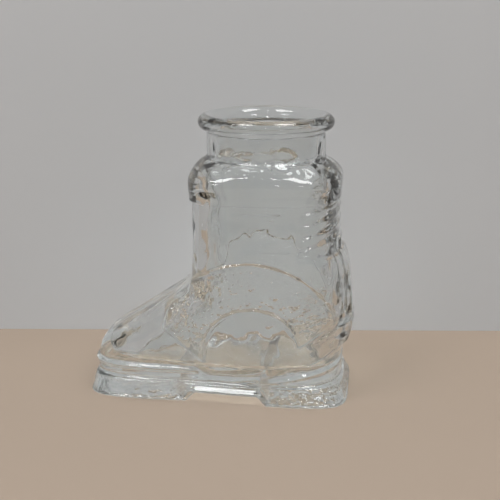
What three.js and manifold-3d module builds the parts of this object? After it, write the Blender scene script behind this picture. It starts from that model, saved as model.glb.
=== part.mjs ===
// A clear glass shot glass in the shape of a boot, blown thick in a mould.
// It is one body of glass, divided here on flat planes into its named zones from the rim to the lugs.
// Millimetres, +Z up, toe towards -X, heel towards +X, near side towards -Y.

import * as THREE from "three";
import { mergeVertices } from "three/addons/utils/BufferGeometryUtils.js";
import Module from "manifold-3d";

const wasm = await Module();
wasm.setup();

// Heights of the zones, from the table upwards
const LUG_HEIGHT = 2.5;
const SOLE_HEIGHT = 2.4;
const WELT_HEIGHT = 4.1;
const FOOT_HEIGHT = 31;
const LEG_HEIGHT = 14.2;
const CUFF_HEIGHT = 4.8;
const SHOULDER_HEIGHT = 5.6;
const NECK_HEIGHT = 7.2;
const RIM_HEIGHT = 4.2;

// Neck and rim are round, and the leg and the cuff are rounded squares
const RIM_RADIUS = 18.5;
const RIM_INNER_RUN = 2.8;
const RIM_INNER_DROP = 3.8;
const NECK_RADIUS = 16.1;
const NECK_WALL = 2.6;
const CUFF_RADIUS = 21;
const CUFF_TAPER = 0.8;
const SHOULDER_BEND_SHARE = 0.55;
const LEG_RADIUS = 19.9;
const LEG_TOE_POWER = 4;
const LEG_HEEL_POWER = 3;
const FRONT_DRAW = 0.7;
const WALL = 3.2;

// Foot, with reaches measured from the axis of the neck
const TOE_REACH = 46.3;
const TOE_LEAN = 0.4;
const TOE_RISE = 4.6;
const TOE_BLEND = 3.8;
const TOE_POWER = 4;
const TOE_HALF_WIDTH = 16.2;
const TOE_WALL = 5;
const INSTEP_RISE = 21;
const INSTEP_LEAN = 0.6;
const INSTEP_BLEND = 12;
const INSTEP_ROOF = 1.6;
const FOREFOOT_START = 4;
const FOREFOOT_END = 26;
const HEEL_REACH = 21.2;
const HEEL_BULGE = 2;
const HEEL_BULGE_RISE = 13;
const HEEL_POWER = 2.8;
const HEEL_SIDE_INSET = 0.8;
const HOLLOW_TOE_RISE = 0.8;
const HOLLOW_TOE_BLEND = 2;
const HOLLOW_POWER = 2.8;
const HOLLOW_FLOOR_ROUND = 2;
const FOOT_PARTING = 13.4;

// Base, whose lugs flare out past the foot
const BUMPER_PROUD = 0.7;
const BUMPER_BEAD = 1.6;
const BUMPER_END = 17;
const BUMPER_SLANT = 4;
const HEEL_BAND_PROUD = 0.6;
const HEEL_BAND_START = -10;
const HEEL_BAND_RUN = 24.6;
const TOE_FLARE = 1.7;
const HEEL_FLARE = 2.6;
const SIDE_FLARE = 2.7;
const FLARE_LEFT_AT_TOP = 0.45;
const LUG_EDGE = 0.7;
const LUG_TOE_POWER = 6;
const LUG_HEEL_POWER = 6;
const LUG_GAP_FRONT = 17.6;
const LUG_GAP_REAR = 0.6;
const LUG_RAMP = 2.6;
const WAIST_PINCH = 1.2;
const WAIST_LENGTH = 40;

// Moulded relief
const PANEL_PROUD = 0.7;
const PANEL_CENTRE_X = 2.8;
const PANEL_CENTRE_RISE = 6;
const PANEL_OUTER_RADIUS = 23.5;
const PANEL_INNER_RADIUS = 13.2;
const PANEL_INNER_SHIFT = 0.7;
const PANEL_INNER_DROP = 2;
const PANEL_FRONT_ANGLE = 168;
const PANEL_REAR_ANGLE = 18.5;
const PANEL_FRONT_FOOT_ANGLE = 186;
const PANEL_REAR_FOOT_ANGLE = 16.5;
const LEDGE_PROUD = 1.7;
const LEDGE_HEIGHT = 7;
const LEDGE_SIDE_DROP = 4.5;
const LEDGE_SIDE_REACH = 12;
const BACKSTAY_PROUD = 1.1;
const BACKSTAY_WIDTH = 11;
const BACKSTAY_RISE_ON_LEG = 4;
const RIB_PROUD = 0.7;
const RIB_COUNT = 4;
const RIB_HEIGHT = 1.7;
const RIB_PITCH = 3.1;
const RIB_SLANT = 4;
const RIB_REACH = 10;

// Fineness of the faceted surfaces
const SIDES = 64;
const CORNER_CROWDING = 0.5;
const FOOT_ROWS = 20;
const PROFILE_STEPS = 12;
const ARC_STEPS = 5;
const FLOOR_ROUND_SHARES = [0, 0.25, 0.6];

// A blend in the front line takes at most these shares of the straights before and after it
const BLEND_SHARE_BEFORE = 0.95;
const BLEND_SHARE_AFTER = 0.45;

// The bead of the toe bumper from below: shares of its height below the top, and of its full stand-out
const BEAD_PROFILE = [[1, 0], [0.75, 1], [0.25, 1], [0, 0.4]];

// Finish of the glass
const CLEAR_GLASS = 0xdfe5e3;
const STIPPLED_GLASS = 0xe9eeee;
const POLISHED = 0.04;
const STIPPLED = 0.25;
const GLASS_OPACITY = 0.4;

const SOLE_Z = LUG_HEIGHT;
const WELT_Z = SOLE_Z + SOLE_HEIGHT;
const FLOOR_Z = WELT_Z + WELT_HEIGHT;
const LEG_Z = FLOOR_Z + FOOT_HEIGHT;
const CUFF_Z = LEG_Z + LEG_HEIGHT;
const SHOULDER_Z = CUFF_Z + CUFF_HEIGHT;
const NECK_Z = SHOULDER_Z + SHOULDER_HEIGHT;
const RIM_Z = NECK_Z + NECK_HEIGHT;
const TOP_Z = RIM_Z + RIM_HEIGHT;

const HEEL_HALF_WIDTH = LEG_RADIUS - HEEL_SIDE_INSET;
const NECK_BORE = NECK_RADIUS - NECK_WALL;
const LEG_BORE = LEG_RADIUS - WALL;
const CUFF_BORE = CUFF_RADIUS - WALL;
const CLEAR = 2 * (TOE_REACH + TOE_FLARE + CUFF_RADIUS);
const LEG_FRONT = LEG_RADIUS - FRONT_DRAW;
const BORE_FRONT = LEG_FRONT - WALL;

const { clamp, degToRad, lerp, smoothstep } = THREE.MathUtils;

// A geometry as a closed solid, with its shared corners merged
function solidOf(geometry) {
  const bare = geometry.clone();
  bare.deleteAttribute("normal");
  bare.deleteAttribute("uv");
  const merged = mergeVertices(bare);
  const vertProperties = new Float32Array(merged.attributes.position.array);
  const triVerts = new Uint32Array(merged.index.array);
  return new wasm.Manifold(new wasm.Mesh({ numProp: 3, vertProperties, triVerts }));
}

function geometryOf(solid) {
  const { vertProperties, triVerts } = solid.getMesh();
  const geometry = new THREE.BufferGeometry();
  geometry.setAttribute("position", new THREE.BufferAttribute(vertProperties, 3));
  geometry.setIndex(new THREE.BufferAttribute(triVerts, 1));
  geometry.computeVertexNormals();
  return geometry;
}

// A ring turned about the neck axis from a closed profile of radius and height, run anticlockwise
function turned(profile) {
  const points = profile.getPoints(ARC_STEPS);
  points.push(points[0].clone());
  return new THREE.LatheGeometry(points, SIDES).rotateX(Math.PI / 2);
}

// A closed outline at one height: a rounded square with its own reach to the toe and to the heel.
// Its points crowd together at the four rounded corners.
function outline({ z, toe, heel, toeHalf, heelHalf, toePower, heelPower, pinch = 0 }) {
  return Array.from({ length: SIDES }, (_, i) => {
    const turn = (i / SIDES) * 2 * Math.PI;
    const angle = turn + (CORNER_CROWDING * Math.sin(4 * turn)) / 4;
    const along = Math.cos(angle);
    const across = Math.sin(angle);
    const power = along < 0 ? toePower : heelPower;
    const stretch = (Math.abs(along) ** power + Math.abs(across) ** power) ** (-1 / power);
    const x = (along < 0 ? toe : heel) * along * stretch;
    const half = lerp(heelHalf, toeHalf, smoothstep(-x, FOREFOOT_START, FOREFOOT_END));
    const y = (half - pinch * waistAt(x)) * across * stretch;
    return new THREE.Vector3(x, y, z);
  });
}

// How far the outline is drawn in at the waist: 1 between the lugs, easing to 0
function waistAt(x) {
  const middle = -(LUG_GAP_FRONT + LUG_GAP_REAR) / 2;
  const away = clamp(Math.abs(x - middle) / (WAIST_LENGTH / 2), 0, 1);
  return 1 - smoothstep(away, 0, 1);
}

// A solid through a stack of outlines, closed flat at the bottom and the top
function loft(rings) {
  const points = rings.flat();
  const index = [];
  for (let row = 0; row + 1 < rings.length; row += 1) {
    for (let i = 0; i < SIDES; i += 1) {
      const a = row * SIDES + i;
      const b = row * SIDES + ((i + 1) % SIDES);
      index.push(a, b, b + SIDES, a, b + SIDES, a + SIDES);
    }
  }
  const bottom = points.length;
  const top = bottom + 1;
  const last = (rings.length - 1) * SIDES;
  points.push(new THREE.Vector3(0, 0, rings[0][0].z), new THREE.Vector3(0, 0, rings.at(-1)[0].z));
  for (let i = 0; i < SIDES; i += 1) {
    const next = (i + 1) % SIDES;
    index.push(bottom, next, i, top, last + i, last + next);
  }
  const geometry = new THREE.BufferGeometry().setFromPoints(points);
  geometry.setIndex(index);
  return geometry;
}

// A side-view shape carried right across the boot from side to side
function prism(shape) {
  const geometry = new THREE.ExtrudeGeometry(shape, {
    depth: CLEAR,
    bevelEnabled: false,
    curveSegments: PROFILE_STEPS,
  });
  return solidOf(geometry.rotateX(Math.PI / 2).translate(0, CLEAR / 2, 0));
}

function polygon(points) {
  return new THREE.Shape(points.map(([x, z]) => new THREE.Vector2(x, z)));
}

// The front line of the foot or of its hollow: up the toe, along the vamp, up the shin
function frontLine({ start, toe, toeBlend, instep, instepBlend, end }) {
  const path = new THREE.Path().moveTo(start.x, start.y);
  const corners = [
    { at: toe, before: start, after: instep, blend: toeBlend },
    { at: instep, before: toe, after: end, blend: instepBlend },
  ];
  for (const { at, before, after, blend } of corners) {
    const wayBefore = at.distanceTo(before) * BLEND_SHARE_BEFORE;
    const wayAfter = at.distanceTo(after) * BLEND_SHARE_AFTER;
    const way = Math.min(blend, wayBefore, wayAfter);
    const inTo = at.clone().add(before.clone().sub(at).setLength(way));
    const outOf = at.clone().add(after.clone().sub(at).setLength(way));
    path.lineTo(inTo.x, inTo.y).quadraticCurveTo(at.x, at.y, outOf.x, outOf.y);
  }
  return path.lineTo(end.x, end.y);
}

// The reach of a front line at a height
function reachAt(points, z) {
  let above = 1;
  while (above + 1 < points.length && points[above].y < z) {
    above += 1;
  }
  const low = points[above - 1];
  const high = points[above];
  const share = clamp((z - low.y) / (high.y - low.y), 0, 1);
  return -lerp(low.x, high.x, share);
}

const vamp = frontLine({
  start: new THREE.Vector2(-TOE_REACH, FLOOR_Z),
  toe: new THREE.Vector2(-TOE_REACH + TOE_LEAN, FLOOR_Z + TOE_RISE),
  toeBlend: TOE_BLEND,
  instep: new THREE.Vector2(-LEG_FRONT - INSTEP_LEAN, FLOOR_Z + INSTEP_RISE),
  instepBlend: INSTEP_BLEND,
  end: new THREE.Vector2(-LEG_FRONT, LEG_Z),
});
const hollow = frontLine({
  start: new THREE.Vector2(-TOE_REACH + TOE_WALL, FLOOR_Z),
  toe: new THREE.Vector2(-TOE_REACH + TOE_WALL, FLOOR_Z + HOLLOW_TOE_RISE),
  toeBlend: HOLLOW_TOE_BLEND,
  instep: new THREE.Vector2(-BORE_FRONT - INSTEP_LEAN, FLOOR_Z + INSTEP_RISE - INSTEP_ROOF),
  instepBlend: INSTEP_BLEND,
  end: new THREE.Vector2(-BORE_FRONT, LEG_Z),
});
const vampPoints = vamp.getPoints(PROFILE_STEPS);
const hollowPoints = hollow.getPoints(PROFILE_STEPS);
const footLevels = vamp.getSpacedPoints(FOOT_ROWS).map((p) => p.y);

// The heel line bulges over the counter and runs in again to the leg
function heelAt(z) {
  const rise = z - FLOOR_Z;
  const fullest = HEEL_REACH + HEEL_BULGE;
  if (rise < HEEL_BULGE_RISE) {
    return lerp(HEEL_REACH, fullest, smoothstep(rise, 0, HEEL_BULGE_RISE));
  }
  const share = (rise - HEEL_BULGE_RISE) / (FOOT_HEIGHT - HEEL_BULGE_RISE);
  return lerp(fullest, LEG_RADIUS, 1 - Math.sqrt(1 - clamp(share, 0, 1) ** 2));
}

// The outside of the foot at a height, stood out by a given amount
function footOutline(z, proud = 0) {
  const share = smoothstep((z - FLOOR_Z) / FOOT_HEIGHT, 0, 1);
  return outline({
    z,
    toe: reachAt(vampPoints, z) + proud,
    heel: heelAt(z) + proud,
    toeHalf: lerp(TOE_HALF_WIDTH, LEG_RADIUS, share) + proud,
    heelHalf: lerp(HEEL_HALF_WIDTH, LEG_RADIUS, share) + proud,
    toePower: lerp(TOE_POWER, LEG_TOE_POWER, share),
    heelPower: lerp(HEEL_POWER, LEG_HEEL_POWER, share),
  });
}

// The hollow of the foot at a height, with a rounded edge along its floor
function hollowOutline(z) {
  const share = smoothstep((z - FLOOR_Z) / FOOT_HEIGHT, 0, 1);
  const below = 1 - clamp((z - FLOOR_Z) / HOLLOW_FLOOR_ROUND, 0, 1);
  const inset = HOLLOW_FLOOR_ROUND * (1 - Math.sqrt(1 - below ** 2));
  return outline({
    z,
    toe: reachAt(hollowPoints, z) - inset,
    heel: heelAt(z) - WALL - inset,
    toeHalf: lerp(TOE_HALF_WIDTH, LEG_RADIUS, share) - WALL - inset,
    heelHalf: lerp(HEEL_HALF_WIDTH, LEG_RADIUS, share) - WALL - inset,
    toePower: HOLLOW_POWER,
    heelPower: HOLLOW_POWER,
  });
}

function footSkin(proud) {
  return solidOf(loft(footLevels.map((z) => footOutline(z, proud))));
}

function hollowCore() {
  const round = FLOOR_ROUND_SHARES.map((share) => FLOOR_Z + share * HOLLOW_FLOOR_ROUND);
  const clear = footLevels.filter((z) => z >= FLOOR_Z + HOLLOW_FLOOR_ROUND);
  const rings = [...round, ...clear].map(hollowOutline);
  const below = rings[0].map((p) => p.clone().setZ(FLOOR_Z - WELT_HEIGHT));
  const above = rings.at(-1).map((p) => p.clone().setZ(LEG_Z + LEG_HEIGHT));
  return solidOf(loft([below, ...rings, above]));
}

// The stippled arch on each side, a half ring with slanted feet
function archPanel() {
  const x = -PANEL_CENTRE_X;
  const z = FLOOR_Z + PANEL_CENTRE_RISE;
  const shape = new THREE.Shape();
  const front = degToRad(PANEL_FRONT_ANGLE);
  const rear = degToRad(PANEL_REAR_ANGLE);
  const frontFoot = degToRad(PANEL_FRONT_FOOT_ANGLE);
  const rearFoot = degToRad(PANEL_REAR_FOOT_ANGLE);
  shape.absarc(x, z, PANEL_OUTER_RADIUS, rear, front, false);
  shape.absarc(x + PANEL_INNER_SHIFT, z - PANEL_INNER_DROP, PANEL_INNER_RADIUS, frontFoot, rearFoot, true);
  return shape;
}

// The heel ledge, deepest at the back and running forwards and down to the foot of the arch
function heelLedge() {
  const top = FLOOR_Z + HEEL_BULGE_RISE;
  const bottom = top - LEDGE_HEIGHT;
  const bend = HEEL_REACH;
  return polygon([
    [LEDGE_SIDE_REACH, bottom - LEDGE_SIDE_DROP],
    [bend, bottom],
    [CLEAR, bottom],
    [CLEAR, top],
    [bend, top],
    [LEDGE_SIDE_REACH, top - LEDGE_SIDE_DROP],
  ]);
}

function boxAbout(low, high) {
  const size = high.clone().sub(low);
  const middle = low.clone().add(high).multiplyScalar(0.5);
  return solidOf(new THREE.BoxGeometry(size.x, size.y, size.z).translate(middle.x, middle.y, middle.z));
}

function backstay() {
  const low = new THREE.Vector3(0, -BACKSTAY_WIDTH / 2, FLOOR_Z + HEEL_BULGE_RISE - LEDGE_HEIGHT / 2);
  const high = new THREE.Vector3(CLEAR, BACKSTAY_WIDTH / 2, LEG_Z + BACKSTAY_RISE_ON_LEG);
  return boxAbout(low, high);
}

function makeFoot() {
  return footSkin(0)
    .add(footSkin(PANEL_PROUD).intersect(prism(archPanel())))
    .add(footSkin(LEDGE_PROUD).intersect(prism(heelLedge())))
    .add(footSkin(BACKSTAY_PROUD).intersect(backstay()))
    .subtract(hollowCore());
}

function ringProfile(outer, bore, low, high) {
  return new THREE.Path()
    .moveTo(bore, low)
    .lineTo(outer, low)
    .lineTo(outer, high)
    .lineTo(bore, high);
}

// An outline of the leg, the cuff or the shoulder: from the boot's own section to a round one
function legOutline(z, radius, roundness = 0) {
  const front = radius - FRONT_DRAW * (1 - roundness);
  return outline({
    z,
    toe: front,
    heel: radius,
    toeHalf: radius,
    heelHalf: radius,
    toePower: lerp(LEG_TOE_POWER, 2, roundness),
    heelPower: lerp(LEG_HEEL_POWER, 2, roundness),
  });
}

// The same for the hollow inside them
function boreOutline(z, radius, roundness = 0) {
  const power = lerp(HOLLOW_POWER, 2, roundness);
  const front = radius - FRONT_DRAW * (1 - roundness);
  const reach = { toe: front, heel: radius, toeHalf: radius, heelHalf: radius };
  return outline({ z, ...reach, toePower: power, heelPower: power });
}

// A stack of outlines with a hollow through it, both given from the bottom upwards
function shell(outer, bore) {
  const below = bore[0].map((p) => p.clone().setZ(p.z - CUFF_HEIGHT));
  const above = bore.at(-1).map((p) => p.clone().setZ(p.z + CUFF_HEIGHT));
  return solidOf(loft(outer)).subtract(solidOf(loft([below, ...bore, above])));
}

// The leg carries slanted ribs across its back and the top of the backstay
function makeLeg() {
  const levels = [LEG_Z, CUFF_Z];
  const bore = levels.map((z) => boreOutline(z, LEG_BORE));
  const skin = (proud) => shell(levels.map((z) => legOutline(z, LEG_RADIUS + proud)), bore);
  const ribbed = skin(RIB_PROUD);
  const stay = skin(BACKSTAY_PROUD).intersect(backstay());
  let leg = skin(0).add(stay);
  for (let i = 0; i < RIB_COUNT; i += 1) {
    const z = CUFF_Z - (i + 0.5) * RIB_PITCH;
    const rib = polygon([
      [RIB_REACH, z - RIB_HEIGHT / 2 - RIB_SLANT / 2],
      [CUFF_RADIUS, z - RIB_HEIGHT / 2 + RIB_SLANT / 2],
      [CUFF_RADIUS, z + RIB_HEIGHT / 2 + RIB_SLANT / 2],
      [RIB_REACH, z + RIB_HEIGHT / 2 - RIB_SLANT / 2],
    ]);
    leg = leg.add(ribbed.intersect(prism(rib)));
  }
  return leg;
}

function makeCuff() {
  const side = new THREE.Path()
    .moveTo(CUFF_RADIUS - CUFF_TAPER, CUFF_Z)
    .quadraticCurveTo(CUFF_RADIUS, CUFF_Z + CUFF_HEIGHT / 2, CUFF_RADIUS, SHOULDER_Z);
  const outer = side.getPoints(ARC_STEPS).map((p) => legOutline(p.y, p.x));
  return shell(outer, [boreOutline(CUFF_Z, LEG_BORE), boreOutline(SHOULDER_Z, CUFF_BORE)]);
}

// The shoulder runs in from the cuff to the round neck
function makeShoulder() {
  const bend = SHOULDER_Z + SHOULDER_HEIGHT * SHOULDER_BEND_SHARE;
  const sweep = (from, to) => new THREE.Path()
    .moveTo(from, SHOULDER_Z)
    .quadraticCurveTo(from, bend, to, NECK_Z)
    .getPoints(ARC_STEPS);
  const roundness = (p) => smoothstep(p.y, SHOULDER_Z, NECK_Z);
  const outer = sweep(CUFF_RADIUS, NECK_RADIUS).map((p) => legOutline(p.y, p.x, roundness(p)));
  const bore = sweep(CUFF_BORE, NECK_BORE).map((p) => boreOutline(p.y, p.x, roundness(p)));
  return shell(outer, bore);
}

// The rolled rim, rounded wide on the inside so that the mouth opens like a funnel
function makeRim() {
  const half = RIM_HEIGHT / 2;
  const centre = RIM_RADIUS - half;
  return turned(
    new THREE.Path()
      .moveTo(NECK_BORE, RIM_Z)
      .lineTo(centre, RIM_Z)
      .absarc(centre, RIM_Z + half, half, -Math.PI / 2, Math.PI / 2, false)
      .lineTo(NECK_BORE + RIM_INNER_RUN, TOP_Z)
      .quadraticCurveTo(NECK_BORE, TOP_Z, NECK_BORE, TOP_Z - RIM_INNER_DROP),
  );
}

// The outside of the base at a height, with a share of the flare that the lugs have
function baseOutline(z, { flare = 0, edge = 0, proud = 0 }) {
  const out = proud - edge;
  return outline({
    z,
    toe: TOE_REACH + TOE_FLARE * flare + out,
    heel: HEEL_REACH + HEEL_FLARE * flare + out,
    toeHalf: TOE_HALF_WIDTH + SIDE_FLARE * flare + out,
    heelHalf: HEEL_HALF_WIDTH + SIDE_FLARE * flare + out,
    toePower: lerp(TOE_POWER, LUG_TOE_POWER, flare),
    heelPower: lerp(HEEL_POWER, LUG_HEEL_POWER, flare ** 2),
    pinch: WAIST_PINCH,
  });
}

// The lugs and the sole share one skirt, widest at the table
function flareAt(z) {
  return lerp(1, FLARE_LEFT_AT_TOP, z / WELT_Z);
}

// Everything in front of the slanted end of the toe bumper
function frontOfBumperEnd() {
  return prism(polygon([
    [-CLEAR, WELT_Z],
    [-BUMPER_END + BUMPER_SLANT, WELT_Z],
    [-BUMPER_END, FLOOR_Z],
    [-CLEAR, FLOOR_Z],
  ]));
}

function weltSlab(proud) {
  return solidOf(loft([baseOutline(WELT_Z, { proud }), baseOutline(FLOOR_Z, { proud })]));
}

// The toe bumper ends at the top in a rounded bead
function makeToeWelt() {
  const rings = BEAD_PROFILE.map(([depth, share]) =>
    baseOutline(FLOOR_Z - depth * BUMPER_BEAD, { proud: share * BUMPER_PROUD }));
  const slab = loft([baseOutline(WELT_Z, {}), ...rings]);
  return solidOf(slab).intersect(frontOfBumperEnd());
}

// The heel band is a wedge that grows in height towards the back
function makeHeelWelt() {
  const band = polygon([
    [HEEL_BAND_START, WELT_Z],
    [CLEAR, WELT_Z],
    [CLEAR, FLOOR_Z],
    [HEEL_BAND_START + HEEL_BAND_RUN, FLOOR_Z],
  ]);
  return weltSlab(0)
    .add(weltSlab(HEEL_BAND_PROUD).intersect(prism(band)))
    .subtract(frontOfBumperEnd());
}

function makeSole() {
  return loft([
    baseOutline(SOLE_Z, { flare: flareAt(SOLE_Z) }),
    baseOutline(WELT_Z - LUG_EDGE, { flare: flareAt(WELT_Z - LUG_EDGE) }),
    baseOutline(WELT_Z, { flare: flareAt(WELT_Z), edge: LUG_EDGE }),
  ]);
}

function lugSlab() {
  return solidOf(loft([
    baseOutline(0, { flare: 1, edge: LUG_EDGE }),
    baseOutline(LUG_EDGE, { flare: flareAt(LUG_EDGE) }),
    baseOutline(SOLE_Z, { flare: flareAt(SOLE_Z) }),
  ]));
}

function makeToeLug() {
  return lugSlab().intersect(prism(polygon([
    [-CLEAR, 0],
    [-LUG_GAP_FRONT - LUG_RAMP, 0],
    [-LUG_GAP_FRONT, SOLE_Z],
    [-CLEAR, SOLE_Z],
  ])));
}

function makeHeelLug() {
  return lugSlab().intersect(prism(polygon([
    [-LUG_GAP_REAR + LUG_RAMP, 0],
    [CLEAR, 0],
    [CLEAR, SOLE_Z],
    [-LUG_GAP_REAR, SOLE_Z],
  ])));
}

const boot = new THREE.Group();
boot.name = "boot_shot_glass";

function addZone(name, geometry, color, roughness) {
  const material = new THREE.MeshStandardMaterial({
    color,
    roughness,
    metalness: 0,
    transparent: true,
    opacity: GLASS_OPACITY,
  });
  const zone = new THREE.Mesh(geometry, material);
  zone.name = name;
  boot.add(zone);
}

const foot = makeFoot();
const frontHalf = boxAbout(
  new THREE.Vector3(-CLEAR, -CLEAR, FLOOR_Z - WELT_HEIGHT),
  new THREE.Vector3(-FOOT_PARTING, CLEAR, LEG_Z + LEG_HEIGHT),
);

addZone("rim_bead", makeRim(), CLEAR_GLASS, POLISHED);
addZone("neck", turned(ringProfile(NECK_RADIUS, NECK_BORE, NECK_Z, RIM_Z)), CLEAR_GLASS, POLISHED);
addZone("shoulder", geometryOf(makeShoulder()), CLEAR_GLASS, POLISHED);
addZone("cuff", geometryOf(makeCuff()), CLEAR_GLASS, POLISHED);
addZone("leg", geometryOf(makeLeg()), CLEAR_GLASS, POLISHED);
addZone("toe_box", geometryOf(foot.intersect(frontHalf)), CLEAR_GLASS, POLISHED);
addZone("heel_counter", geometryOf(foot.subtract(frontHalf)), CLEAR_GLASS, POLISHED);
addZone("toe_welt", geometryOf(makeToeWelt()), CLEAR_GLASS, POLISHED);
addZone("heel_welt", geometryOf(makeHeelWelt()), CLEAR_GLASS, POLISHED);
addZone("sole_plate", makeSole(), STIPPLED_GLASS, STIPPLED);
addZone("toe_lug", geometryOf(makeToeLug()), STIPPLED_GLASS, STIPPLED);
addZone("heel_lug", geometryOf(makeHeelLug()), STIPPLED_GLASS, STIPPLED);

// The origin is under the middle of the boot, on the table
const extent = new THREE.Box3().setFromObject(boot);
boot.position.x = -(extent.min.x + extent.max.x) / 2;

export default boot;
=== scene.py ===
import math

import bmesh
import bpy
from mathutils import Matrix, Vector


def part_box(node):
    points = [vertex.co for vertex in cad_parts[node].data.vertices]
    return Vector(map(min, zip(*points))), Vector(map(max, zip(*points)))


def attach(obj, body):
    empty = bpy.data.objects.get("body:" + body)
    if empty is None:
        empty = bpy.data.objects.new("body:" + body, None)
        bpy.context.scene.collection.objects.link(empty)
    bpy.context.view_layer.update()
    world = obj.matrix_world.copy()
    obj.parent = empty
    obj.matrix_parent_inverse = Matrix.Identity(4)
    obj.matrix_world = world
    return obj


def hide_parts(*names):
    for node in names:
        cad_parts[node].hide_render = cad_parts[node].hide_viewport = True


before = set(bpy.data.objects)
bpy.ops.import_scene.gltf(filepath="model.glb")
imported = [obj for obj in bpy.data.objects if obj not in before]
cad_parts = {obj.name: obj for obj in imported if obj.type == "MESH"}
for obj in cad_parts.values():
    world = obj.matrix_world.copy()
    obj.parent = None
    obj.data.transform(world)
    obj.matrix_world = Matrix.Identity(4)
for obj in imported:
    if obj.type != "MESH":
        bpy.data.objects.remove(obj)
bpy.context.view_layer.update()  # the CAD nodes, in metres
scene = bpy.context.scene
mm = 0.001
print("frame loaded:", len(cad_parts), "CAD nodes")


def mix(a, b, share):
    return a + (b - a) * share


def clamped(value):
    return min(max(value, 0.0), 1.0)


def eased(value, low, high):  # 0 below low, 1 above high, smooth between
    share = clamped((value - low) / (high - low))
    return share * share * (3 - 2 * share)


def hump(away, halfWidth):  # 1 on a line, 0 at half its width away
    share = clamped(abs(away) / halfWidth)
    return (1 - share * share) ** 2


def halfAcross(node):
    low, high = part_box(node)
    return (high.y - low.y) / 2


# heights and radii come from the CAD nodes
rimLow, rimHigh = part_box("rim_bead")
axisX = (rimLow.x + rimHigh.x) / 2  # the axis of the neck
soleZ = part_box("sole_plate")[0].z
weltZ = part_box("toe_welt")[0].z
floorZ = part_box("toe_box")[0].z
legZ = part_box("leg")[0].z
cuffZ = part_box("cuff")[0].z
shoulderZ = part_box("shoulder")[0].z
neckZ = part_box("neck")[0].z
rimZ = rimLow.z
topZ = rimHigh.z
rimRadius = halfAcross("rim_bead")
neckRadius = halfAcross("neck")
cuffRadius = halfAcross("cuff")
legRadius = halfAcross("leg")
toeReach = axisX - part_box("toe_box")[0].x

# the boot's own form, with reaches measured from the neck's axis
bootForm = {
    "ringPoints": 312,
    "sidePoints": 1.9,  # how much closer the points lie along the sides
    "sideSpan": ((-19 * mm, -15 * mm), (27 * mm, 33 * mm)),  # where the sides begin and end
    "pointLevel": 9 * mm,  # height over the floor at which the points are spread
    "gridCorner": 48,  # degrees, the corners of the flat fills
    "wall": 3.2 * mm,
    "neckWall": 2.6 * mm,
    "toeWall": 5.0 * mm,
    "toePower": 4.0,  # squareness of the outline
    "heelPower": 2.8,
    "legToePower": 4.0,
    "legHeelPower": 3.0,
    "frontDraw": 0.7 * mm,  # how much less the leg reaches forwards
    "hollowPower": 2.8,
    "borePower": 3.7,
    "lugPower": 6.0,
    "toeHalf": 16.2 * mm,
    "heelInset": 0.8 * mm,
    "forefoot": (4.0 * mm, 26.0 * mm),
    "toeLean": 0.4 * mm,
    "toeRise": 4.6 * mm,
    "toeBlend": 3.8 * mm,
    "instepRise": 21.0 * mm,
    "instepLean": 0.6 * mm,
    "instepBlend": 12.0 * mm,
    "instepRoof": 1.6 * mm,
    "hollowToeRise": 0.8 * mm,
    "hollowToeBlend": 2.0 * mm,
    "hollowBend": (-29.6 * mm, 8.2 * mm, 9.0 * mm),  # where its roof steepens: place, rise and blend
    "floorRound": 2.0 * mm,
    "heelReach": 21.2 * mm,
    "heelBulge": 2.0 * mm,
    "heelBulgeRise": 13.0 * mm,
    "toeFlare": 1.7 * mm,
    "heelFlare": 2.6 * mm,
    "sideFlare": 2.67 * mm,
    "flareAtTop": 0.45,
    "lugEdge": 0.7 * mm,
    "gapFront": 17.6 * mm,
    "gapRear": 0.6 * mm,
    "gapRamp": 2.6 * mm,
    "waistPinch": 1.2 * mm,
    "waistLength": 40.0 * mm,
    "rimRun": 2.85 * mm,  # the mouth opens like a funnel
    "rimDrop": 4.6 * mm,
    "waistBlend": 2.5 * mm,  # how far above and below the floor the waist fades
    "gapRound": 0.6,  # share of rounding in the ramps of the gap
    "weltStep": 0.1 * mm,
    "hemGap": 0.4 * mm,
    "shoulderBend": 0.55,
    "shoulderEnd": 0.94,  # where the foot of the neck takes over
    "neckGap": 0.35 * mm,
    "boreGap": 0.2 * mm,
    # millimetres out and up, from the cuff's widest and its hem, and from the neck and its foot
    "cuffHem": ((-1.1, -0.1), (-0.85, 0.0), (-0.42, 0.1), (-0.24, 0.4),
                (-0.34, 0.9), (-0.28, 1.5), (-0.08, 3.0), (0, 4.6)),
    "neckFoot": ((0.28, 0.02), (0.08, 0.32), (0, 0.75)),
}
bootRows = {
    "lugEdge": 4, "skirt": 14, "welt": 12, "foot": 82, "leg": 26, "shoulder": 12, "neck": 6, "rim": 18,
    "mouth": 12, "neckBore": 5, "shoulderBore": 12, "cuffBore": 5, "legBore": 9, "hollow": 34,
    "hollowFloor": 6,
}
heelHalf = legRadius - bootForm["heelInset"]
neckBore = neckRadius - bootForm["neckWall"]
legBore = legRadius - bootForm["wall"]
legFront = legRadius - bootForm["frontDraw"]
boreFront = legFront - bootForm["wall"]
cuffBore = cuffRadius - bootForm["wall"]


def blendedLine(corners):  # a line of (x, z, blend) whose corners are rounded
    line = [Vector(corners[0][:2])]
    for before, at, after in zip(corners, corners[1:], corners[2:]):
        a, b, c = Vector(before[:2]), Vector(at[:2]), Vector(after[:2])
        way = min(at[2], 0.95 * (a - b).length, 0.45 * (c - b).length)
        start = b + (a - b).normalized() * way
        end = b + (c - b).normalized() * way
        for step in range(17):
            t = step / 16
            line.append(start * (1 - t) ** 2 + b * 2 * t * (1 - t) + end * t * t)
    line.append(Vector(corners[-1][:2]))
    return line


def reachOn(line, z):
    for low, high in zip(line, line[1:]):
        if z <= high.y:
            return -mix(low.x, high.x, clamped((z - low.y) / (high.y - low.y)))
    return -line[-1].x


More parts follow.
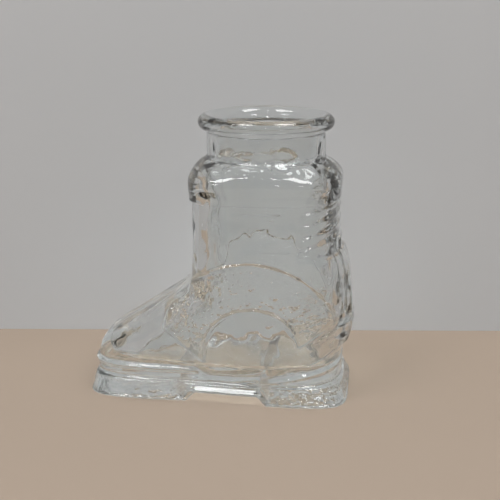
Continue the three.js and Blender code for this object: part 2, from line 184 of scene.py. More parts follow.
instepZ = floorZ + bootForm["instepRise"]
vampLine = blendedLine([
    (-toeReach, floorZ, 0),
    (-toeReach + bootForm["toeLean"], floorZ + bootForm["toeRise"], bootForm["toeBlend"]),
    (-legFront - bootForm["instepLean"], instepZ, bootForm["instepBlend"]),
    (-legFront, legZ, 0),
])
hollowToe = -toeReach + bootForm["toeWall"]
bendX, bendRise, bendBlend = bootForm["hollowBend"]
hollowLine = blendedLine([
    (hollowToe, floorZ, 0),
    (hollowToe, floorZ + bootForm["hollowToeRise"], bootForm["hollowToeBlend"]),
    (bendX, floorZ + bendRise, bendBlend),
    (-boreFront - bootForm["instepLean"], instepZ - bootForm["instepRoof"], bootForm["instepBlend"]),
    (-boreFront, legZ, 0),
])


def heelAt(z):  # bulges over the counter and runs in again to the leg
    rise = z - floorZ
    full = bootForm["heelReach"] + bootForm["heelBulge"]
    if rise < bootForm["heelBulgeRise"]:
        return mix(bootForm["heelReach"], full, eased(rise, 0, bootForm["heelBulgeRise"]))
    share = clamped((rise - bootForm["heelBulgeRise"]) / (legZ - floorZ - bootForm["heelBulgeRise"]))
    return mix(full, legRadius, 1 - math.sqrt(1 - share * share))


def gapUnder(x):  # how high the underside lifts between the lugs
    front = clamped((x + bootForm["gapFront"]) / bootForm["gapRamp"] + 1)
    rear = clamped((-bootForm["gapRear"] - x) / bootForm["gapRamp"] + 1)
    share = min(front, rear)
    return soleZ * mix(share, eased(share, 0, 1), bootForm["gapRound"])


def waistAt(x):
    middle = -(bootForm["gapFront"] + bootForm["gapRear"]) / 2
    return 1 - eased(abs(x - middle), 0, bootForm["waistLength"] / 2)


def pinchAt(z):  # the waist is drawn in at the welt and fades above the floor
    blend = bootForm["waistBlend"]
    return bootForm["waistPinch"] * (1 - eased(z, floorZ - blend, floorZ + blend))


def ring(z, toe, heel, toeHalf, heelHalf, toePower=2.0, heelPower=2.0, pinch=0.0, lift=0.0):
    return {"z": z, "toe": toe, "heel": heel, "toeHalf": toeHalf, "heelHalf": heelHalf,
            "toePower": toePower, "heelPower": heelPower, "pinch": pinch, "lift": lift}


def roundRing(radius, z):
    return ring(z, radius, radius, radius, radius)


def legRing(radius, z, roundness=0.0):  # leg, cuff and shoulder, from a rounded square to round
    return ring(z, radius - bootForm["frontDraw"] * (1 - roundness), radius, radius, radius,
                mix(bootForm["legToePower"], 2, roundness), mix(bootForm["legHeelPower"], 2, roundness))


def boreRing(radius, z, roundness=0.0):
    power = mix(bootForm["borePower"], 2, roundness)
    return ring(z, radius - bootForm["frontDraw"] * (1 - roundness), radius, radius, radius, power, power)


def footRing(z):
    share = eased(z, floorZ, legZ)
    return ring(z, reachOn(vampLine, z), heelAt(z), mix(bootForm["toeHalf"], legRadius, share),
                mix(heelHalf, legRadius, share), mix(bootForm["toePower"], bootForm["legToePower"], share),
                mix(bootForm["heelPower"], bootForm["legHeelPower"], share), pinchAt(z))


def hollowRing(z):
    share = eased(z, floorZ, legZ)
    below = 1 - clamped((z - floorZ) / bootForm["floorRound"])
    inset = bootForm["floorRound"] * (1 - math.sqrt(1 - below * below))
    wall = bootForm["wall"] + inset
    power = mix(bootForm["hollowPower"], bootForm["borePower"], share)
    return ring(z, reachOn(hollowLine, z) - inset, heelAt(z) - wall,
                mix(bootForm["toeHalf"], legRadius, share) - wall,
                mix(heelHalf, legRadius, share) - wall, power, power)


def baseRing(z, inset=0.0, lift=0.0, flare=None):  # lugs and sole share one skirt, widest at the table
    if flare is None:
        flare = mix(1, bootForm["flareAtTop"], z / weltZ)
    return ring(z, toeReach + bootForm["toeFlare"] * flare - inset,
                bootForm["heelReach"] + bootForm["heelFlare"] * flare - inset,
                bootForm["toeHalf"] + bootForm["sideFlare"] * flare - inset,
                heelHalf + bootForm["sideFlare"] * flare - inset,
                mix(bootForm["toePower"], bootForm["lugPower"], flare),
                mix(bootForm["heelPower"], bootForm["lugPower"], flare * flare), pinchAt(z), lift)


def steps(low, high, count):  # count values after low, up to high
    return [mix(low, high, (k + 1) / count) for k in range(count)]


def pointOn(r, turn):
    along, across = math.cos(turn), math.sin(turn)
    power = r["toePower"] if along < 0 else r["heelPower"]
    stretch = (abs(along) ** power + abs(across) ** power) ** (-1 / power)
    x = (r["toe"] if along < 0 else r["heel"]) * along * stretch
    half = mix(r["heelHalf"], r["toeHalf"], eased(-x, *bootForm["forefoot"])) - r["pinch"] * waistAt(x)
    return Vector((x, half * across * stretch, r["z"] + r["lift"] * gapUnder(x)))


def quarter(count, first=1):  # angles over a quarter turn
    return [math.pi / 2 * k / count for k in range(first, count + 1)]


# rings up the outside: lug edge, skirt, welt, foot, leg, cuff, shoulder, neck and rim
edge = bootForm["lugEdge"]
skirtTop = weltZ - edge
outside = []
for angle in quarter(bootRows["lugEdge"], 0):
    outside.append(baseRing(edge * (1 - math.cos(angle)), edge * (1 - math.sin(angle)), 1.0))
for t in steps(0, 1, bootRows["skirt"]):
    outside.append(baseRing(mix(edge, skirtTop, t), 0.0, 1 - t))
for angle in quarter(bootRows["lugEdge"]):
    outside.append(baseRing(skirtTop + edge * math.sin(angle), edge * (1 - math.cos(angle))))
for z in steps(weltZ + bootForm["weltStep"], floorZ, bootRows["welt"]):
    outside.append(baseRing(z, flare=0.0))
outside += [footRing(z) for z in steps(floorZ, legZ, bootRows["foot"])]
outside += [legRing(legRadius, z) for z in steps(legZ, cuffZ - bootForm["hemGap"], bootRows["leg"])]
outside += [legRing(cuffRadius + out * mm, cuffZ + up * mm) for out, up in bootForm["cuffHem"]]
bendZ = mix(shoulderZ, neckZ, bootForm["shoulderBend"])
for t in steps(0, bootForm["shoulderEnd"], bootRows["shoulder"]):
    radius = cuffRadius * (1 - t * t) + neckRadius * t * t
    z = shoulderZ * (1 - t) ** 2 + bendZ * 2 * t * (1 - t) + neckZ * t * t
    outside.append(legRing(radius, z, eased(z, shoulderZ, neckZ)))
outside += [roundRing(neckRadius + out * mm, neckZ + up * mm) for out, up in bootForm["neckFoot"]]
neckFootTop = neckZ + bootForm["neckFoot"][-1][1] * mm
for z in steps(neckFootTop, rimZ - bootForm["neckGap"], bootRows["neck"]):
    outside.append(roundRing(neckRadius, z))
bead = (topZ - rimZ) / 2
for k in range(bootRows["rim"] + 1):  # round the rolled rim
    angle = math.pi * (k / bootRows["rim"] - 0.5)
    outside.append(roundRing(rimRadius - bead + bead * math.cos(angle),
                             rimZ + bead + bead * math.sin(angle)))

# and down the inside: mouth, neck, shoulder, cuff, leg, hollow foot and the round of its floor
inside = []
for angle in quarter(bootRows["mouth"]):
    inside.append(roundRing(neckBore + bootForm["rimRun"] * (1 - math.sin(angle)),
                            topZ - bootForm["rimDrop"] * (1 - math.cos(angle))))
for z in steps(topZ - bootForm["rimDrop"], neckZ + bootForm["boreGap"], bootRows["neckBore"]):
    inside.append(roundRing(neckBore, z))
for t in steps(0, 1, bootRows["shoulderBore"]):
    radius = neckBore * (1 - t) ** 2 + cuffBore * (2 * t * (1 - t) + t * t)
    z = neckZ * (1 - t) ** 2 + bendZ * 2 * t * (1 - t) + shoulderZ * t * t
    inside.append(boreRing(radius, z, eased(z, shoulderZ, neckZ)))
for t in steps(0, 1, bootRows["cuffBore"]):
    inside.append(boreRing(mix(cuffBore, legBore, eased(t, 0, 1)), mix(shoulderZ, cuffZ, t)))
inside += [boreRing(legBore, z) for z in steps(cuffZ, legZ, bootRows["legBore"])]
floorRound = bootForm["floorRound"]
inside += [hollowRing(z) for z in steps(legZ, floorZ + floorRound, bootRows["hollow"])]
for t in steps(0, 1, bootRows["hollowFloor"]):
    inside.append(hollowRing(floorZ + floorRound * (1 - math.sin(math.pi / 2 * t))))
rings = outside + inside


def spreadTurns(count):  # angles round a ring, closer together along the sides
    reference = footRing(floorZ + bootForm["pointLevel"])
    begin, finish = bootForm["sideSpan"]
    fine = 4000  # trial points over half a ring
    total, sums = 0.0, [0.0]
    last = pointOn(reference, 0.0)
    for k in range(1, fine + 1):
        point = pointOn(reference, math.pi * k / fine)
        side = eased(-point.x, *begin) * (1 - eased(-point.x, *finish))
        total += (point - last).length * mix(1, bootForm["sidePoints"], side)
        sums.append(total)
        last = point
    half, k = [], 0
    for step in range(count // 2):
        goal = total * step / (count // 2)
        while sums[k + 1] < goal:
            k += 1
        half.append(math.pi * (k + (goal - sums[k]) / (sums[k + 1] - sums[k])) / fine)
    return half + [math.pi] + [2 * math.pi - turn for turn in reversed(half[1:])]


# a circle is extruded once for every ring, and each ring is then put on its outline
count = bootForm["ringPoints"]
bpy.ops.object.select_all(action="DESELECT")
bpy.ops.mesh.primitive_circle_add(vertices=count, radius=1, fill_type="NOTHING")
boot = bpy.context.object
boot.name = boot.data.name = "glass_boot"
bpy.ops.object.mode_set(mode="EDIT")
for row in range(1, len(rings)):
    bpy.ops.mesh.extrude_region_move(TRANSFORM_OT_translate={"value": (0, 0, 1)})
mesh = bmesh.from_edit_mesh(boot.data)
turns = spreadTurns(count)
loops = [[None] * count for r in rings]
for v in mesh.verts:
    place = round(math.atan2(v.co.y, v.co.x) / (2 * math.pi) * count) % count
    loops[round(v.co.z)][place] = v
for r, loop in zip(rings, loops):
    for v, turn in zip(loop, turns):
        v.co = pointOn(r, turn) + Vector((axisX, 0, 0))
mesh.verts.index_update()
rowOf = {v.index: row for row, loop in enumerate(loops) for v in loop}


def fillFlat(loop):  # a grid over the underside or the floor, from corner to corner
    corner = next(k for k in range(count) if turns[k] > math.radians(bootForm["gridCorner"]))
    bpy.ops.mesh.select_all(action="DESELECT")
    for a, b in zip(loop, loop[1:] + loop[:1]):
        mesh.edges.get((a, b)).select_set(True)
    mesh.select_history.clear()
    mesh.select_history.add(loop[count - corner])
    bmesh.update_edit_mesh(boot.data)
    bpy.ops.mesh.fill_grid(span=2 * corner)


fillFlat(loops[0])
fillFlat(loops[-1])
bpy.ops.mesh.select_all(action="SELECT")
bpy.ops.mesh.normals_make_consistent(inside=False)
bpy.ops.object.mode_set(mode="OBJECT")
bpy.ops.object.shade_smooth()
print("boot skin:", len(rings), "rings,", len(boot.data.polygons), "faces")


# relief is weighted by place, in millimetres from the neck's axis, and stood out along the surface
bootRelief = {
    "archOuter": ((-2.8, 15.0), 23.5, 18.5, 168.0),  # centre, radius, and the angles of its ends
    "archInner": ((-2.1, 13.0), 13.2, 16.5, 186.0),
    "archLevels": (8, 41),  # no part of the arch lies below or above these
    "archBead": 0.85,  # half its width
    "archHeight": 0.75,
    "fieldEdge": 1.2,
    "fieldHeight": 0.25,
    "sideFacing": (0.2, 0.5),  # how far a surface faces sideways before it takes relief
    "straps": ((50.7, -9.0, 7.5), (43.4, -5.0, 9.0)),  # level, and the two ends
    "strapRidges": (3, 1.0, 0.46),  # number, pitch, half the width
    "strapFade": 2.5,
    "strapSlope": 0.04,
    "strapHeight": 0.5,
    "toeBead": (8.2, 0.9, 0.7),  # level, half its height, stand-out
    "toeBeadEnd": (-19.0, -16.5),
    "bumperEnd": (-17.0, -13.0),  # at the top and at the foot of the welt
    "bumperSlant": (4.9, 4.1),  # foot and height of that slanted end
    "bumperSoft": (0.6, 0.2),
    "bumperLevels": ((5.0, 5.6), (8.2, 9.4)),
    "bumperHeight": 0.25,
    "heelBand": ((-9.9, 5.0), (20.7, 10.0)),
    "heelBandFoot": (4.9, 5.5),
    "heelBandEdge": (0.7, 0.8, 1.1, 0.6),  # softness, drop and half width of its bead, flat share
    "heelBandHeight": 0.5,
    "ledge": (15.0, 22.0, 4.5, 12.0),  # foot, top, drop along the sides, reach forwards
    "ledgeSoft": (0.3, 0.6),
    "ledgeBack": 21.5,
    "ledgeFade": (1.0, 5.0),
    "ledgeHeight": 1.5,
    "backstay": (18.5, 44.0, 5.5),  # foot, top, half its width
    "backstaySoft": (0.6, 0.5),
    "backstayFrom": (12, 14),
    "backstayFade": (3, 1.0, 0.6),  # at its foot, and below and above its top
    "backstayHeight": 1.0,
    "ribs": (4, 3.1, 1.7, 4.0, 10.0),  # number, pitch, height, slant, reach
    "ribRound": 0.75,
    "ribFade": 1.5,
    "ribTop": (1.2, 0.2),  # below the hem
    "ribHeight": 0.6,
    "lugSkirt": ((0.3, 1.0), (4.2, 4.9), (0.0, 0.35)),  # fades in, fades out, and towards the gap
    "hollowWall": (66, 73),
    "smoothSkin": ((5, 10), (70, 74)),
}
# uneven surfaces: place, height, texture, the texture's size and depth, and its middle
bootWaves = (
    ("archField", 0.7, "pebble", 1.3, 1, 0.5),
    ("lugSkirt", 0.7, "lugPebble", 1.4, 1, 1.0),
    ("hollowWall", 1.4, "hollowWaves", 9, 2, 0.5),
    ("hollowWall", 0.45, "hollowRipples", 3.4, 1, 0.5),
    ("smoothSkin", 0.14, "skinWaves", 8, 1, 0.5),
    ("smoothSkin", 0.1, "skinRipples", 3.2, 1, 0.5),
)
outsideRows = len(outside)


def awayFromSegment(point, a, b):
    run = b - a
    share = clamped((point - a).dot(run) / run.dot(run))
    return (point - a - run * share).length


def arcPoint(arc, degrees):
    angle = math.radians(degrees)
    return Vector(arc[0]) + arc[1] * Vector((math.cos(angle), math.sin(angle)))


arcs = (bootRelief["archOuter"], bootRelief["archInner"])
archEnds = [tuple(arcPoint(arc, arc[k]) for arc in arcs) for k in (2, 3)]  # rear, then front


def archAway(point):  # distance to the outline of the arch
    near = [awayFromSegment(point, a, b) for a, b in archEnds]
    for centre, radius, low, high in arcs:
        away = point - Vector(centre)
        if low < math.degrees(math.atan2(away.y, away.x)) % 360 < high:
            near.append(abs(away.length - radius))
    return min(near)


def archInside(point):
    outer, inner = ((point - Vector(arc[0])).length - arc[1] for arc in arcs)
    above = all(point.y > mix(a.y, b.y, (point.x - a.x) / (b.x - a.x)) for a, b in archEnds)
    return outer < 0 < inner and above


def sideways(normal):
    return eased(abs(normal.y), *bootRelief["sideFacing"])


def archLevel(z):
    low, high = bootRelief["archLevels"]
    return low < z < high


def archBead(x, y, z, normal):
    if not archLevel(z):
        return 0
    return hump(archAway(Vector((x, z))), bootRelief["archBead"]) * sideways(normal)


def archField(x, y, z, normal):
    point = Vector((x, z))
    if not archLevel(z) or not archInside(point):
        return 0
    return eased(archAway(point), 0.0, bootRelief["fieldEdge"]) * sideways(normal)


def toeBead(x, y, z, normal):
    level, half, height = bootRelief["toeBead"]
    return hump(z - level, half) * (1 - eased(x, *bootRelief["toeBeadEnd"]))


def toeBumper(x, y, z, normal):
    top, foot = bootRelief["bumperEnd"]
    slantFoot, slantHeight = bootRelief["bumperSlant"]
    before, after = bootRelief["bumperSoft"]
    low, high = bootRelief["bumperLevels"]
    end = mix(foot, top, clamped((z - slantFoot) / slantHeight))
    return (1 - eased(x, end - before, end + after)) * eased(z, *low) * (1 - eased(z, *high))


def heelBand(x, y, z, normal):
    (x0, z0), (x1, z1) = bootRelief["heelBand"]
    soft, drop, half, flat = bootRelief["heelBandEdge"]
    line = z0 + (z1 - z0) * (x - x0) / (x1 - x0)
    return (eased(line - z, 0.0, soft) * eased(z, *bootRelief["heelBandFoot"])
            * mix(flat, 1, hump(line - drop - z, half)))


def heelLedge(x, y, z, normal):
    foot, top, drop, reach = bootRelief["ledge"]
    less, more = bootRelief["ledgeSoft"]
    before, after = bootRelief["ledgeFade"]
    down = drop * (1 - eased(x, reach, bootRelief["ledgeBack"]))
    return (eased(z + down, foot - less, foot + more) * (1 - eased(z + down, top - more, top + less))
            * eased(x, reach - before, reach + after))


def backstay(x, y, z, normal):
    foot, top, half = bootRelief["backstay"]
    less, more = bootRelief["backstaySoft"]
    rise, below, above = bootRelief["backstayFade"]
    return ((1 - eased(abs(y), half - less, half + more)) * eased(x, *bootRelief["backstayFrom"])
            * eased(z, foot, foot + rise)
            * (1 - eased(z, top - below, top + above)) * (1 - heelLedge(x, y, z, normal)))


def backRibs(x, y, z, normal):
    number, pitch, height, slant, reach = bootRelief["ribs"]
    if x < reach:
        return 0
    hem = cuffZ / mm
    low, high = bootRelief["ribTop"]
    lean = slant * ((x - reach) / (cuffRadius / mm - reach) - 0.5)
    half = height * bootRelief["ribRound"]
    most = max(hump(z - lean - (hem - (k + 0.5) * pitch), half) for k in range(number))
    return most * eased(x, reach, reach + bootRelief["ribFade"]) * (1 - eased(z, hem - low, hem - high))


def strapRidges(x, y, z, normal):  # thin ridges across the side of the leg
    number, pitch, half = bootRelief["strapRidges"]
    fade, slope = bootRelief["strapFade"], bootRelief["strapSlope"]
    most = 0
    for level, front, rear in bootRelief["straps"]:
        ends = eased(x, front, front + fade) * (1 - eased(x, rear - fade, rear))
        for k in range(number):
            most = max(most, ends * hump(z - level - (k - 1) * pitch - slope * x, half))
    return most * sideways(normal)


def lugSkirt(x, y, z, normal):  # the lugs alone: the sole between them is smooth
    low, high, gap = bootRelief["lugSkirt"]
    lifted = gapUnder(x * mm) / soleZ
    return eased(z, *low) * (1 - eased(z, *high)) * (1 - eased(lifted, *gap))


def hollowWall(x, y, z, normal):
    return 1 - eased(z, *bootRelief["hollowWall"])


def smoothSkin(x, y, z, normal):
    low, high = bootRelief["smoothSkin"]
    return eased(z, *low) * (1 - eased(z, *high))


def place(name, weight, rows):  # a vertex group weighted by place, kept to the rows given
    group = boot.vertex_groups.new(name=name)
    for v in boot.data.vertices:
        if not rows[0] <= rowOf.get(v.index, -1) < rows[1]:
            continue
        share = weight((v.co.x - axisX) / mm, v.co.y / mm, v.co.z / mm, v.normal)
        if share > 0.001:
            group.add([v.index], share, "REPLACE")


def standOut(name, height, texture=None, middle=0.0):
    push = boot.modifiers.new(name, "DISPLACE")
    push.vertex_group = name
    push.strength = height * mm
    push.mid_level = middle
    if texture:
        push.texture = texture
        push.texture_coords = "LOCAL"
    bpy.ops.object.modifier_apply(modifier=name)


def clouds(name, size, depth):
    texture = bpy.data.textures.new(name, "CLOUDS")
    texture.noise_scale = size * mm
    texture.noise_depth = depth
    return texture


outer = (0, outsideRows)
inner = (outsideRows, len(rings))
for name, weight, height in (
    ("archBead", archBead, bootRelief["archHeight"]),
    ("archField", archField, bootRelief["fieldHeight"]),
    ("toeBead", toeBead, bootRelief["toeBead"][2]),
    ("toeBumper", toeBumper, bootRelief["bumperHeight"]),
    ("heelBand", heelBand, bootRelief["heelBandHeight"]),
    ("heelLedge", heelLedge, bootRelief["ledgeHeight"]),
    ("backstay", backstay, bootRelief["backstayHeight"]),
    ("backRibs", backRibs, bootRelief["ribHeight"]),
    ("strapRidges", strapRidges, bootRelief["strapHeight"]),
):
    place(name, weight, outer)
    standOut(name, height)
place("lugSkirt", lugSkirt, outer)
place("hollowWall", hollowWall, inner)
place("smoothSkin", smoothSkin, outer)
for name, height, texture, size, depth, middle in bootWaves:
    standOut(name, height, clouds(texture, size, depth), middle)
print("relief stood out on", len(boot.vertex_groups), "places")

# where the mould was stippled, for the glass to read
stipple = boot.data.attributes.new("stipple", "FLOAT", "POINT")
for v in boot.data.vertices:
    x, y, z = (v.co.x - axisX) / mm, v.co.y / mm, v.co.z / mm
    if rowOf.get(v.index, 0) < outsideRows:
        stipple.data[v.index].value = max(archField(x, y, z, v.normal), lugSkirt(x, y, z, v.normal))


def newGroup(name, inputs, outputs):
    group = bpy.data.node_groups.new(name, "ShaderNodeTree")
    for label, kind in inputs:
        group.interface.new_socket(name=label, in_out="INPUT", socket_type=kind)
    for label, kind in outputs:
        group.interface.new_socket(name=label, in_out="OUTPUT", socket_type=kind)
    return group, group.nodes.new("NodeGroupInput"), group.nodes.new("NodeGroupOutput")


def addNode(tree, kind, settings=None, values=None):
    node = tree.nodes.new(kind)
    for label, value in (settings or {}).items():
        setattr(node, label, value)
    for label, value in (values or {}).items():
        node.inputs[label].default_value = value
    return node


def makeFlowGroup():  # slow waves left by the mould, and finer ripples
    group, start, end = newGroup("mouldFlow", [("Vector", "NodeSocketVector")],
                                 [("Height", "NodeSocketFloat")])
    slow = addNode(group, "ShaderNodeTexNoise", None, {"Scale": 160.0, "Detail": 2.0, "Distortion": 0.4})
    fine = addNode(group, "ShaderNodeTexNoise", None, {"Scale": 620.0, "Detail": 2.0, "Distortion": 0.8})
    less = addNode(group, "ShaderNodeMath", {"operation": "MULTIPLY"})
    less.inputs[1].default_value = 0.25  # share of the finer ripples
    both = addNode(group, "ShaderNodeMath", {"operation": "ADD"})
    group.links.new(start.outputs["Vector"], slow.inputs["Vector"])
    group.links.new(start.outputs["Vector"], fine.inputs["Vector"])
    group.links.new(fine.outputs["Fac"], less.inputs[0])
    group.links.new(slow.outputs["Fac"], both.inputs[0])
    group.links.new(less.outputs[0], both.inputs[1])
    group.links.new(both.outputs[0], end.inputs["Height"])
    return group


def makeStippleGroup():  # close-set pits of uneven size
    group, start, end = newGroup("stippleGrain", [("Vector", "NodeSocketVector")],
                                 [("Height", "NodeSocketFloat"), ("Cloud", "NodeSocketFloat")])
    pits = addNode(group, "ShaderNodeTexVoronoi", {"feature": "SMOOTH_F1"},
                   {"Scale": 1150.0, "Smoothness": 0.6})
    cloud = addNode(group, "ShaderNodeTexNoise", None, {"Scale": 420.0, "Detail": 3.0})
    group.links.new(start.outputs["Vector"], pits.inputs["Vector"])
    group.links.new(start.outputs["Vector"], cloud.inputs["Vector"])
    group.links.new(pits.outputs["Distance"], end.inputs["Height"])
    group.links.new(cloud.outputs["Fac"], end.inputs["Cloud"])
    return group


def makeFilmGroup():  # faint finger film and dust, as a roughness
    group, start, end = newGroup("handlingFilm", [("Vector", "NodeSocketVector")],
                                 [("Film", "NodeSocketFloat")])
    smear = addNode(group, "ShaderNodeTexNoise", None, {"Scale": 90.0, "Detail": 5.0, "Roughness": 0.65})
    ramp = addNode(group, "ShaderNodeMapRange", None,
                   {"From Min": 0.5, "From Max": 0.75, "To Min": 0.0, "To Max": 0.05})
    group.links.new(start.outputs["Vector"], smear.inputs["Vector"])
    group.links.new(smear.outputs["Fac"], ramp.inputs["Value"])
    group.links.new(ramp.outputs["Result"], end.inputs["Film"])
    return group


bootGlass = {
    "tint": (0.9, 0.918, 0.918, 1),
    "cloudTint": (0.98, 0.99, 0.992, 1),
    "ior": 1.5,
    "stippleRoughness": 0.1,
    "flowDepth": 0.05 * mm,
    "stippleDepth": 0.2 * mm,
    "absorption": (0.86, 0.93, 0.92, 1),
    "density": 9.0,
    "shadow": (0.78, 0.79, 0.79, 1),
}


def makeBootGlass():
    material = bpy.data.materials.new("boot_glass")
    material.use_nodes = True
    tree = material.node_tree
    tree.nodes.clear()
    output = addNode(tree, "ShaderNodeOutputMaterial")
    glass = addNode(tree, "ShaderNodeBsdfPrincipled", None, {
        "IOR": bootGlass["ior"], "Transmission Weight": 1.0, "Metallic": 0.0})
    coords = addNode(tree, "ShaderNodeTexCoord")
    mask = addNode(tree, "ShaderNodeAttribute", {"attribute_name": "stipple"})
    flow = addNode(tree, "ShaderNodeGroup", {"node_tree": makeFlowGroup()})
    grain = addNode(tree, "ShaderNodeGroup", {"node_tree": makeStippleGroup()})
    film = addNode(tree, "ShaderNodeGroup", {"node_tree": makeFilmGroup()})
    for group in (flow, grain, film):
        tree.links.new(coords.outputs["Object"], group.inputs["Vector"])
    # roughness: finger film all over, and the stipple where the mould has it
    rough = addNode(tree, "ShaderNodeMath", {"operation": "MULTIPLY"})
    tree.links.new(mask.outputs["Fac"], rough.inputs[0])
    rough.inputs[1].default_value = bootGlass["stippleRoughness"]
    both = addNode(tree, "ShaderNodeMath", {"operation": "ADD"})
    tree.links.new(rough.outputs[0], both.inputs[0])
    tree.links.new(film.outputs["Film"], both.inputs[1])
    tree.links.new(both.outputs[0], glass.inputs["Roughness"])
    # colour: clouded a little where it is stippled
    cloud = addNode(tree, "ShaderNodeMath", {"operation": "MULTIPLY"})
    tree.links.new(mask.outputs["Fac"], cloud.inputs[0])
    tree.links.new(grain.outputs["Cloud"], cloud.inputs[1])
    colour = addNode(tree, "ShaderNodeMix", {"data_type": "RGBA"})
    colour.inputs[6].default_value = bootGlass["tint"]
    colour.inputs[7].default_value = bootGlass["cloudTint"]
    tree.links.new(cloud.outputs[0], colour.inputs[0])
    tree.links.new(colour.outputs[2], glass.inputs["Base Color"])
    # surface: slow flow, then the stipple on top of it
    waves = addNode(tree, "ShaderNodeBump", None, {"Strength": 1.0, "Distance": bootGlass["flowDepth"]})
    tree.links.new(flow.outputs["Height"], waves.inputs["Height"])
    pits = addNode(tree, "ShaderNodeBump", None, {"Distance": bootGlass["stippleDepth"]})
    tree.links.new(mask.outputs["Fac"], pits.inputs["Strength"])
    tree.links.new(grain.outputs["Height"], pits.inputs["Height"])
    tree.links.new(waves.outputs["Normal"], pits.inputs["Normal"])
    tree.links.new(pits.outputs["Normal"], glass.inputs["Normal"])
    # lamps shine through the glass, so that it throws a pale shadow
    path = addNode(tree, "ShaderNodeLightPath")
    pale = addNode(tree, "ShaderNodeBsdfTransparent", None, {"Color": bootGlass["shadow"]})
    shown = addNode(tree, "ShaderNodeMixShader")
    tree.links.new(path.outputs["Is Shadow Ray"], shown.inputs[0])
    tree.links.new(glass.outputs[0], shown.inputs[1])
    tree.links.new(pale.outputs[0], shown.inputs[2])
    tree.links.new(shown.outputs[0], output.inputs["Surface"])
    depth = addNode(tree, "ShaderNodeVolumeAbsorption", None, {
        "Color": bootGlass["absorption"], "Density": bootGlass["density"]})
    tree.links.new(depth.outputs[0], output.inputs["Volume"])
    return material


boot.data.materials.clear()
boot.data.materials.append(makeBootGlass())
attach(boot, "root")
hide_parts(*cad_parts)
print("glass finished:", len(boot.data.vertices), "points")

# the camera stands where the photograph was taken from
photoCamera = {
    "distance": 0.323,  # along the table from the neck's axis
    "height": 0.1177,
    "turn": 5.0,  # degrees towards the heel
    "pitch": 13.85,
    "yaw": 0.753,  # puts the neck a little right of the middle
    "lens": 86.6,
    "sensor": 36.0,
    "clip": 0.01,
}
turn, pitch, yaw = (math.radians(photoCamera[k]) for k in ("turn", "pitch", "yaw"))
toward = Vector((-math.sin(turn) * math.cos(pitch), math.cos(turn) * math.cos(pitch), -math.sin(pitch)))
right = Vector((math.cos(turn), math.sin(turn), 0))
look = toward * math.cos(yaw) - right * math.sin(yaw)
lens = bpy.data.cameras.new("photo_camera")
lens.lens, lens.sensor_width = photoCamera["lens"], photoCamera["sensor"]
lens.clip_start = photoCamera["clip"]
camera = bpy.data.objects.new("photo_camera", lens)
scene.collection.objects.link(camera)
camera.location = (axisX + photoCamera["distance"] * math.sin(turn),
                   -photoCamera["distance"] * math.cos(turn), photoCamera["height"])
camera.rotation_mode = "QUATERNION"
camera.rotation_quaternion = look.to_track_quat("-Z", "Y")
scene.camera = camera

# a pale table and a pale wall close behind
studio = {
    "floor": (0.31, 0.245, 0.19, 1),
    "floorSize": 8.0,
    "floorDrop": 0.05 * mm,  # the glass rests on points, with air under it
    "wall": (0.55, 0.56, 0.57, 1),
    "wallBehind": 0.047,
    "wallSize": (1.6, 0.8),
    "roughness": 0.85,
    "horizon": (0.2, 0.2, 0.205, 1),
    "ceiling": (0.2, 0.205, 0.21, 1),
    "ceilingFrom": (0.4, 0.85),  # heights on the sky between which it changes
    "lampAim": 0.04,  # height on the neck's axis that the lamps face
    # light turns back many times inside thick glass
    "turns": {"max_bounces": 32, "glossy_bounces": 7, "transmission_bounces": 32},
}


def stageMaterial(name, colour, oneSided):
    material = bpy.data.materials.new(name)
    material.use_nodes = True
    tree = material.node_tree
    shader = tree.nodes["Principled BSDF"]
    shader.inputs["Base Color"].default_value = colour
    shader.inputs["Roughness"].default_value = studio["roughness"]
    if oneSided:  # not seen from behind, so that other views can look in
        side = addNode(tree, "ShaderNodeNewGeometry")
        clear = addNode(tree, "ShaderNodeBsdfTransparent")
        shown = addNode(tree, "ShaderNodeMixShader")
        tree.links.new(side.outputs["Backfacing"], shown.inputs[0])
        tree.links.new(shader.outputs[0], shown.inputs[1])
        tree.links.new(clear.outputs[0], shown.inputs[2])
        tree.links.new(shown.outputs[0], tree.nodes["Material Output"].inputs["Surface"])
    return material


bpy.ops.object.select_all(action="DESELECT")
bpy.ops.mesh.primitive_plane_add(size=studio["floorSize"], location=(0, 0, -studio["floorDrop"]))
floor = bpy.context.object
floor.name = "floor"
floor.data.materials.append(stageMaterial("pale_floor", studio["floor"], False))
bpy.ops.mesh.primitive_plane_add(size=1, location=(0, 0, 0))
backdrop = bpy.context.object
backdrop.name = "backdrop"
wide, tall = studio["wallSize"]
backdrop.scale = (wide, tall, 1)
backdrop.rotation_euler = (math.pi / 2, 0, turn)
backdrop.location = (axisX - math.sin(turn) * studio["wallBehind"],
                     math.cos(turn) * studio["wallBehind"], tall / 2)
backdrop.data.materials.append(stageMaterial("pale_wall", studio["wall"], True))

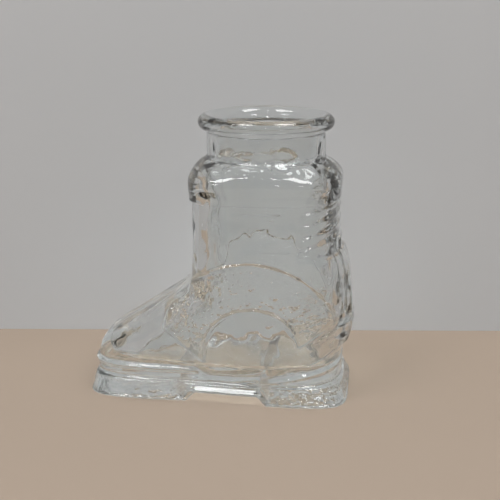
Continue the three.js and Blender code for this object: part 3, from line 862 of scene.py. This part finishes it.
world = bpy.data.worlds.new("studio")
scene.world = world
world.use_nodes = True
sky = world.node_tree
skyCoords = addNode(sky, "ShaderNodeTexCoord")
skyParts = addNode(sky, "ShaderNodeSeparateXYZ")
skyRise = addNode(sky, "ShaderNodeMapRange", {"interpolation_type": "SMOOTHSTEP"}, {
    "From Min": studio["ceilingFrom"][0], "From Max": studio["ceilingFrom"][1]})
skyColour = addNode(sky, "ShaderNodeMix", {"data_type": "RGBA"})
skyColour.inputs[6].default_value = studio["horizon"]
skyColour.inputs[7].default_value = studio["ceiling"]
sky.links.new(skyCoords.outputs["Generated"], skyParts.inputs[0])
sky.links.new(skyParts.outputs["Z"], skyRise.inputs["Value"])
sky.links.new(skyRise.outputs["Result"], skyColour.inputs[0])
sky.links.new(skyColour.outputs[2], sky.nodes["Background"].inputs["Color"])

lamps = {
    "left_panel": {"at": (-0.6, -0.8, 0.7), "size": (0.2, 0.12), "power": 1.3},
    "right_panel": {"at": (0.55, -0.8, 0.7), "size": (0.18, 0.1), "power": 1.2},
    "overhead_left": {"at": (-0.3, -0.25, 0.8), "size": (0.28, 0.28), "power": 3.4},
    "overhead_right": {"at": (0.3, -0.1, 0.8), "size": (0.28, 0.28), "power": 3.1},
    "ceiling_front": {"at": (0.02, -0.36, 0.95), "size": (0.07, 0.07), "power": 0.3},
    "ceiling_side": {"at": (-0.5, -0.15, 0.8), "size": (0.07, 0.07), "power": 0.3},
    "ceiling_heel": {"at": (0.5, -0.2, 0.75), "size": (0.07, 0.07), "power": 0.3},
    "low_lamp": {"at": (0.05, -0.85, 0.42), "size": (0.07, 0.05), "power": 0.4},
}
for name, lamp in lamps.items():
    light = bpy.data.lights.new(name, "AREA")
    light.shape = "RECTANGLE"
    light.size, light.size_y = lamp["size"]
    light.energy = lamp["power"]
    holder = bpy.data.objects.new(name, light)
    scene.collection.objects.link(holder)
    holder.location = lamp["at"]
    aim = Vector((axisX, 0, studio["lampAim"])) - Vector(lamp["at"])
    holder.rotation_mode = "QUATERNION"
    holder.rotation_quaternion = aim.to_track_quat("-Z", "Y")
print("studio ready:", len(lamps), "lamps")

for label, limit in studio["turns"].items():
    setattr(scene.cycles, label, limit)
scene.view_settings.view_transform = "Standard"
